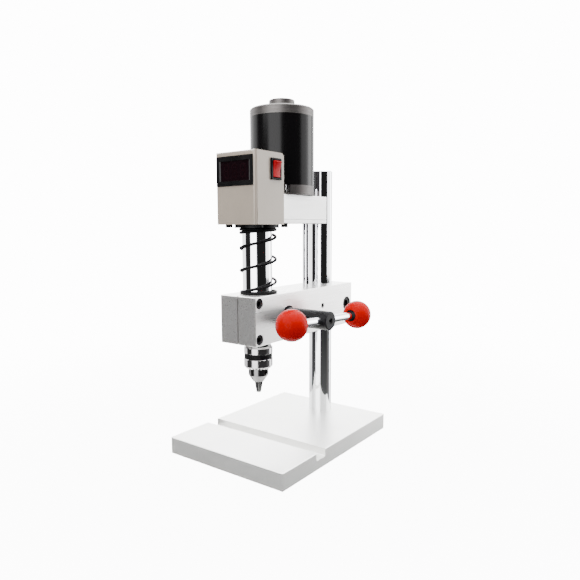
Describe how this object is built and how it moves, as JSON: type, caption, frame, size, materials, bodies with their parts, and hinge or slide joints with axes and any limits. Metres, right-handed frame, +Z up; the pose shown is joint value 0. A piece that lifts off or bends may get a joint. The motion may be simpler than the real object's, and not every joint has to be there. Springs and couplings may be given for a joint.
{
  "type": "mini bench drill",
  "caption": "Small bench drill: slotted base plate, round column, clamped head block, sprung rack-fed quill, belt-driven motor, digital readout and keyed drill chuck.",
  "frame": {"origin": "middle of the base plate's underside", "axes": "+Z up along the column, +Y from the chuck back to the column, +X towards the feed handle's side"},
  "size_m": [0.1567, 0.2092, 0.3722],
  "materials": {
    "plate_aluminium": "fine blasted",
    "block_aluminium": "brushed",
    "housing_aluminium": "satin",
    "polished_steel": "mirror",
    "bright_steel": "ground",
    "black_steel": "black oxide",
    "bronze": "turned",
    "box_paint": "warm grey paint",
    "belt_rubber": "moulded",
    "black_plastic": "satin",
    "display_window": "tinted, clear",
    "digit_red": "unlit segments",
    "board_green": "solder mask",
    "white_plastic": "moulded",
    "red_plastic": "glossy",
    "can_enamel": "satin black enamel",
    "cap_alloy": "turned",
    "magnet_ferrite": "sintered",
    "winding_core": "lacquered",
    "commutator_copper": "turned",
    "chuck_steel": "polished"
  },
  "bodies": {
    "base": {"base_plate": "plate_aluminium", "column_bolt": "black_steel"},
    "column": {"column": "polished_steel"},
    "head": {"head_block": "block_aluminium", "quill_clamp_screws": "black_steel", "column_clamp_screw": "black_steel", "guide_rod": "polished_steel", "rod_grub_screw": "black_steel", "pinion_bushes": "bronze", "return_spring": "black_steel"},
    "quill": {"quill": "polished_steel", "quill_flange": "black_steel", "flange_screws": "black_steel", "spindle_bearing_outers": "bright_steel", "belt_housing": "housing_aluminium", "housing_cover": "housing_aluminium", "cover_screws": "black_steel", "guide_bush": "bronze", "drive_belt": "belt_rubber", "control_box": "box_paint", "box_screws": "bright_steel", "display_bezel": "black_plastic", "display_window": "display_window", "display_board": "board_green", "display_digits": "digit_red", "speed_board": "board_green", "board_spacers": "white_plastic", "power_inlet": "black_plastic", "rocker_frame": "black_plastic", "motor_can": "can_enamel", "motor_top_cap": "cap_alloy", "motor_bearing_cap": "cap_alloy", "motor_base_cap": "cap_alloy", "motor_magnets": "magnet_ferrite", "motor_brushes": "black_plastic", "motor_bearing_outers": "bright_steel", "motor_tie_bolts": "bright_steel", "motor_mount_screws": "black_steel"},
    "spindle": {"spindle": "bright_steel", "spindle_bearing_inners": "bright_steel", "spindle_pulley": "housing_aluminium", "pulley_nut": "bright_steel", "chuck_body": "chuck_steel"},
    "motor_rotor": {"motor_shaft": "bright_steel", "armature": "winding_core", "commutator": "commutator_copper", "motor_bearing_inners": "bright_steel", "motor_pulley": "housing_aluminium"},
    "feed": {"pinion_shaft": "black_steel", "handle_bar": "polished_steel", "handle_balls": "red_plastic", "ball_inserts": "black_plastic", "bar_grub_screw": "black_steel", "pinion_end_screw": "black_steel"},
    "chuck_sleeve": {"chuck_sleeve": "chuck_steel", "chuck_nut": "chuck_steel"},
    "jaw_1": {"jaw_1": "chuck_steel"},
    "jaw_2": {"jaw_2": "chuck_steel"},
    "jaw_3": {"jaw_3": "chuck_steel"},
    "rocker": {"rocker_paddle": "red_plastic"}
  },
  "joints": [
    {"name": "column_swivel", "type": "hinge", "parent": "base", "child": "column", "pos_m": [0, 0.0745, 0.018], "axis": [0, 0, 1], "range_deg": [-60, 60]},
    {"name": "head_height", "type": "slide", "parent": "column", "child": "head", "axis": [0, 0, 1], "range_m": [-0.03, 0.12]},
    {"name": "quill_feed", "type": "slide", "parent": "head", "child": "quill", "axis": [0, 0, -1], "range_m": [0, 0.045], "stiffness_N_per_m": 800, "springref_m": -0.055, "deforming": ["return_spring"]},
    {"name": "feed_turn", "type": "hinge", "parent": "head", "child": "feed", "pos_m": [0, -0.02065, 0.1473], "axis": [1, 0, 0], "range_deg": [0, 322.5]},
    {"name": "spindle_spin", "type": "hinge", "parent": "quill", "child": "spindle", "pos_m": [0, -0.043, 0.184], "axis": [0, 0, 1], "continuous": true},
    {"name": "motor_spin", "type": "hinge", "parent": "quill", "child": "motor_rotor", "pos_m": [0, -0.0002, 0.31], "axis": [0, 0, 1], "continuous": true},
    {"name": "sleeve_turn", "type": "hinge", "parent": "spindle", "child": "chuck_sleeve", "pos_m": [0, -0.043, 0.106], "axis": [0, 0, -1], "range_deg": [0, 1800]},
    {"name": "rocker_tilt", "type": "hinge", "parent": "quill", "child": "rocker", "pos_m": [0.02585, -0.0441, 0.2965], "axis": [0, -1, 0], "range_deg": [0, 18]},
    {"name": "jaw_1_slide", "type": "slide", "parent": "spindle", "child": "jaw_1", "axis": [0.104, 0.1801, 0.9781], "range_m": [0, 0.013], "stiffness_N_per_m": 0.2, "springref_m": 0.1715},
    {"name": "jaw_2_slide", "type": "slide", "parent": "spindle", "child": "jaw_2", "axis": [-0.2079, 0, 0.9781], "range_m": [0, 0.0131], "stiffness_N_per_m": 0.2, "springref_m": 0.1715},
    {"name": "jaw_3_slide", "type": "slide", "parent": "spindle", "child": "jaw_3", "axis": [0.104, -0.1801, 0.9781], "range_m": [0, 0.0131], "stiffness_N_per_m": 0.2, "springref_m": 0.1715}
  ],
  "couplings": [
    {"joint": "feed_turn", "follows": "quill_feed", "rad_per_m": 125},
    {"joint": "motor_spin", "follows": "spindle_spin", "ratio": 1},
    {"joint": "sleeve_turn", "follows": "jaw_1_slide", "rad_per_m": 2416.6},
    {"joint": "jaw_2_slide", "follows": "jaw_1_slide", "ratio": 1},
    {"joint": "jaw_3_slide", "follows": "jaw_1_slide", "ratio": 1}
  ]
}
